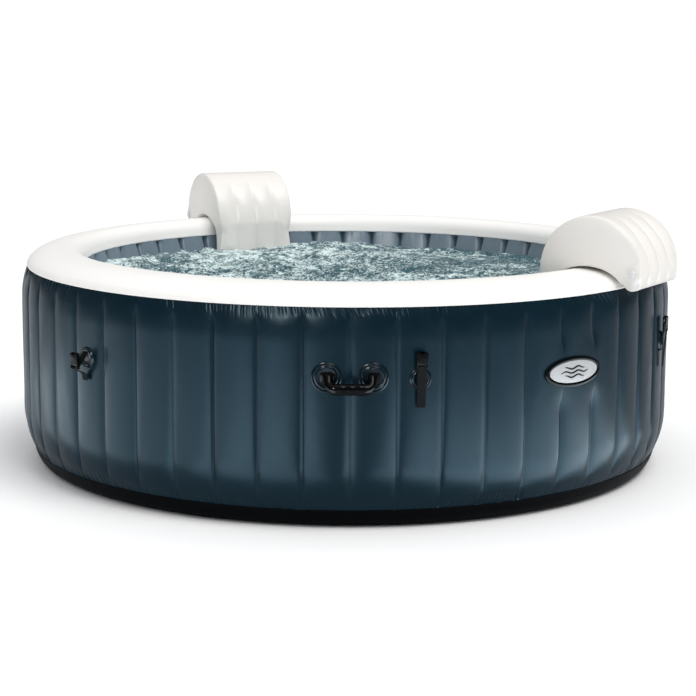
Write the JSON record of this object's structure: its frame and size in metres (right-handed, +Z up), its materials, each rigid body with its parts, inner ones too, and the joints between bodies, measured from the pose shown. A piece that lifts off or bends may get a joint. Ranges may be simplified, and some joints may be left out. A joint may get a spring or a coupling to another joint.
{
  "type": "inflatable hot tub",
  "caption": "Round free-standing inflatable hot tub with upright panelled walls, a crowned rim, lift-off headrests, carrying handles and cover straps.",
  "frame": {"origin": "centre of the flat underside, on the axis of the round tub, at ground level", "axes": "+Z up along the axis of the tub; the front, with the carrying handle, faces -Y; +X is to the right seen from the front"},
  "size_m": [2.1574, 2.2666, 0.883],
  "materials": {
    "navy_pvc": "satin",
    "white_pvc": "satin",
    "black_pvc": "matte",
    "lining_pvc": "satin",
    "beam_pvc": "matte",
    "bubble_ring_pvc": "satin",
    "navy_patch": "satin",
    "black_gloss_plastic": "gloss",
    "black_plastic": "satin",
    "black_webbing": "matte",
    "badge_silver": "satin",
    "grey_plastic": "satin",
    "headrest_vinyl": "satin",
    "clear_valve_vinyl": "satin"
  },
  "bodies": {
    "tub": {"outer_wall": "navy_pvc", "top_rim": "white_pvc", "inner_wall": "lining_pvc", "base_ring": "black_pvc", "floor_sheet": "black_pvc", "floor_liner": "lining_pvc", "tension_beams": "beam_pvc", "bubble_air_ring": "bubble_ring_pvc", "badge_plate": "black_plastic", "badge_face": "badge_silver", "front_handle_patch_left": "navy_patch", "front_handle_patch_right": "navy_patch", "rear_handle_patch_left": "navy_patch", "rear_handle_patch_right": "navy_patch", "strap_patch_front": "navy_patch", "strap_patch_right": "navy_patch", "strap_patch_rear_right": "navy_patch", "strap_patch_rear_left": "navy_patch", "strap_patch_left": "navy_patch", "strap_patch_front_left": "navy_patch", "strap_webbing_front": "black_webbing", "strap_webbing_right": "black_webbing", "strap_webbing_rear_right": "black_webbing", "strap_webbing_rear_left": "black_webbing", "strap_webbing_left": "black_webbing", "strap_webbing_front_left": "black_webbing", "air_valve_base": "grey_plastic", "drain_valve_base": "grey_plastic", "air_port": "grey_plastic", "water_outlet_port": "grey_plastic", "water_inlet_port": "grey_plastic", "water_outlet_pipe": "grey_plastic", "water_inlet_pipe": "grey_plastic", "water_outlet_cover": "grey_plastic", "water_inlet_cover": "grey_plastic"},
    "front_handle": {"front_handle_grip": "black_gloss_plastic"},
    "rear_handle": {"rear_handle_grip": "black_gloss_plastic"},
    "buckle_front": {"strap_buckle_front": "black_plastic"},
    "buckle_right": {"strap_buckle_right": "black_plastic"},
    "buckle_rear_right": {"strap_buckle_rear_right": "black_plastic"},
    "buckle_rear_left": {"strap_buckle_rear_left": "black_plastic"},
    "buckle_left": {"strap_buckle_left": "black_plastic"},
    "buckle_front_left": {"strap_buckle_front_left": "black_plastic"},
    "air_cap": {"air_valve_cap": "black_plastic"},
    "drain_cap": {"drain_valve_cap": "black_plastic"},
    "headrest_left": {"headrest_left_pad": "headrest_vinyl", "headrest_left_valve": "clear_valve_vinyl"},
    "headrest_left_cap": {"headrest_left_valve_cap": "clear_valve_vinyl"},
    "headrest_right": {"headrest_right_pad": "headrest_vinyl", "headrest_right_valve": "clear_valve_vinyl"},
    "headrest_right_cap": {"headrest_right_valve_cap": "clear_valve_vinyl"}
  },
  "joints": [
    {"name": "front_handle_swing", "type": "hinge", "parent": "tub", "child": "front_handle", "pos_m": [0.01526, -1.09313, 0.455], "axis": [-0.9999, -0.014, 0], "range_deg": [0, 125]},
    {"name": "rear_handle_swing", "type": "hinge", "parent": "tub", "child": "rear_handle", "pos_m": [-0.01526, 1.09313, 0.455], "axis": [0.9999, 0.014, 0], "range_deg": [0, 125]},
    {"name": "buckle_front_fold", "type": "hinge", "parent": "tub", "child": "buckle_front", "pos_m": [0.21955, -1.06957, 0.483], "axis": [0.9796, 0.2011, 0], "range_deg": [0, 100]},
    {"name": "buckle_right_fold", "type": "hinge", "parent": "tub", "child": "buckle_right", "pos_m": [1.02071, -0.38773, 0.483], "axis": [0.3551, 0.9348, 0], "range_deg": [0, 100]},
    {"name": "buckle_rear_right_fold", "type": "hinge", "parent": "tub", "child": "buckle_rear_right", "pos_m": [0.87429, 0.65406, 0.483], "axis": [-0.599, 0.8007, 0], "range_deg": [0, 100]},
    {"name": "buckle_rear_left_fold", "type": "hinge", "parent": "tub", "child": "buckle_rear_left", "pos_m": [-0.35187, 1.03362, 0.483], "axis": [-0.9466, -0.3223, 0], "range_deg": [0, 100]},
    {"name": "buckle_left_fold", "type": "hinge", "parent": "tub", "child": "buckle_left", "pos_m": [-1.06125, 0.25674, 0.483], "axis": [-0.2351, -0.972, 0], "range_deg": [0, 100]},
    {"name": "buckle_front_left_fold", "type": "hinge", "parent": "tub", "child": "buckle_front_left", "pos_m": [-0.80772, -0.78001, 0.422], "axis": [0.6947, -0.7193, 0], "range_deg": [0, 140]},
    {"name": "air_cap_lift", "type": "hinge", "parent": "tub", "child": "air_cap", "pos_m": [0.57045, 0.92725, 0.534], "axis": [0.8517, -0.524, 0], "range_deg": [0, 150]},
    {"name": "drain_cap_lift", "type": "hinge", "parent": "tub", "child": "drain_cap", "pos_m": [0.05318, 1.08737, 0.264], "axis": [0.9988, -0.0489, 0], "range_deg": [0, 150]},
    {"name": "headrest_left_lift_off", "type": "slide", "parent": "tub", "child": "headrest_left", "axis": [0, 0, 1], "range_m": [0, 0.4]},
    {"name": "headrest_left_cap_lift", "type": "hinge", "parent": "headrest_left", "child": "headrest_left_cap", "pos_m": [-0.60439, 0.93575, 0.7175], "axis": [-0.4226, 0.9063, 0], "range_deg": [0, 150]},
    {"name": "headrest_right_lift_off", "type": "slide", "parent": "tub", "child": "headrest_right", "axis": [0, 0, 1], "range_m": [0, 0.4]},
    {"name": "headrest_right_cap_lift", "type": "hinge", "parent": "headrest_right", "child": "headrest_right_cap", "pos_m": [0.86131, -0.70643, 0.7175], "axis": [-0.8526, 0.5225, 0], "range_deg": [0, 150]}
  ]
}
